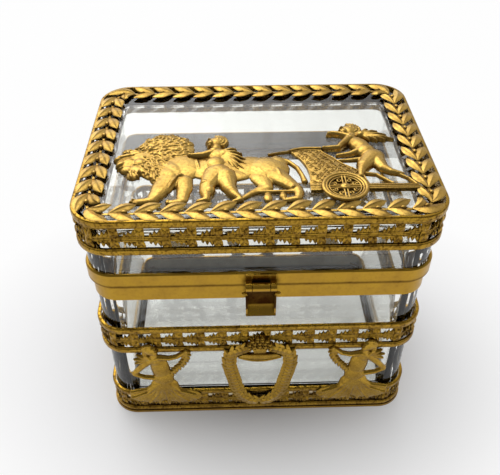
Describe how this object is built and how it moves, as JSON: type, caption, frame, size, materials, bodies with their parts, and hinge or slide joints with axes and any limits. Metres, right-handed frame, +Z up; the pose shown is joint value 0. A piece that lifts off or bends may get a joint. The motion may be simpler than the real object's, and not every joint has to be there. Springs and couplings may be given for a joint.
{
  "type": "glass casket box",
  "caption": "Small rectangular casket of thick cut glass with a hinged hollow glass lid, gilt collars, openwork galleries, relief mounts and a hinged clasp.",
  "frame": {"origin": "centre of the face that the casket stands on", "axes": "+X to the right across the front, +Y from front to back, +Z up"},
  "size_m": [0.1378, 0.107, 0.1173],
  "materials": {
    "gilt_mounts": "chased and gilt, darkened in the recesses",
    "gilt_collars": "satin gilt, brushed lengthwise",
    "gilt_fittings": "burnished gilt",
    "cut_glass": "polished"
  },
  "bodies": {
    "casket": {"body_glass": "cut_glass", "body_collar": "gilt_collars", "foot_frame": "gilt_collars", "base_gallery": "gilt_mounts", "waist_gallery": "gilt_mounts", "front_wreath": "gilt_mounts", "front_figure_left": "gilt_mounts", "front_figure_right": "gilt_mounts", "back_wreath": "gilt_mounts", "back_figure_left": "gilt_mounts", "back_figure_right": "gilt_mounts", "hinge_leaf_body": "gilt_fittings", "hinge_pin": "gilt_fittings", "clasp_keeper": "gilt_fittings"},
    "lid": {"lid_glass": "cut_glass", "lid_collar": "gilt_collars", "lid_gallery": "gilt_mounts", "laurel_garland": "gilt_mounts", "relief_lion": "gilt_mounts", "relief_walker": "gilt_mounts", "relief_chariot": "gilt_mounts", "relief_wheel": "gilt_mounts", "relief_rider": "gilt_mounts", "hinge_leaf_lid": "gilt_fittings", "clasp_plate": "gilt_fittings", "clasp_pin": "gilt_fittings"},
    "hasp": {"clasp_hasp": "gilt_fittings"}
  },
  "joints": [
    {"name": "lid_hinge", "type": "hinge", "parent": "casket", "child": "lid", "pos_m": [0, 0.05175, 0.0816], "axis": [-1, 0, 0], "range_deg": [0, 105]},
    {"name": "clasp_hinge", "type": "hinge", "parent": "lid", "child": "hasp", "pos_m": [0, -0.05175, 0.084], "axis": [-1, 0, 0], "range_deg": [0, 110]}
  ]
}
